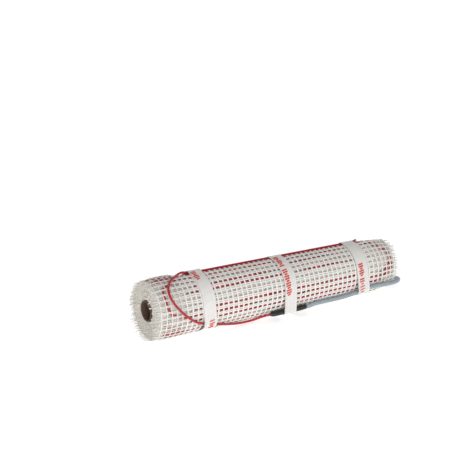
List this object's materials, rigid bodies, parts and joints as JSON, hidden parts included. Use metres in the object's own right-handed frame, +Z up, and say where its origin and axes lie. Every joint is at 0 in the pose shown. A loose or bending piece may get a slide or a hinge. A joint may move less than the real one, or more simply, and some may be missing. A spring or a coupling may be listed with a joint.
{
  "type": "underfloor heating mat roll",
  "caption": "Rolled white mesh heating mat on a cardboard core, tied with tape bands, with its loose heating cable, joint sleeve and cold lead.",
  "frame": {"origin": "centre of the footprint of the roll with its loose cable loop, on the floor, without the cold lead", "axes": "+X along the roll, from the picture's left end to its right end; -Y towards the picture's viewer, where the loose cable is; +Z up"},
  "size_m": [0.5289, 0.1784, 0.1111],
  "materials": {
    "cardboard": "matt brown wound cardboard",
    "mesh": "off-white glass fibre mesh",
    "heating_cable": "dark red smooth plastic sheath",
    "sleeve": "black heat-shrink, half gloss",
    "tape": "white packing tape with small red marks",
    "lead": "grey cable sheath",
    "tie": "black plastic strap"
  },
  "bodies": {
    "root": {"core_tube": "cardboard", "mat_roll": "mesh", "heating_cable_tail": "heating_cable", "joint_sleeve": "sleeve", "band_left": "tape", "band_middle": "tape", "band_right": "tape", "cold_lead": "lead", "cold_lead_hank": "lead", "hank_tie": "tie"}
  },
  "joints": []
}
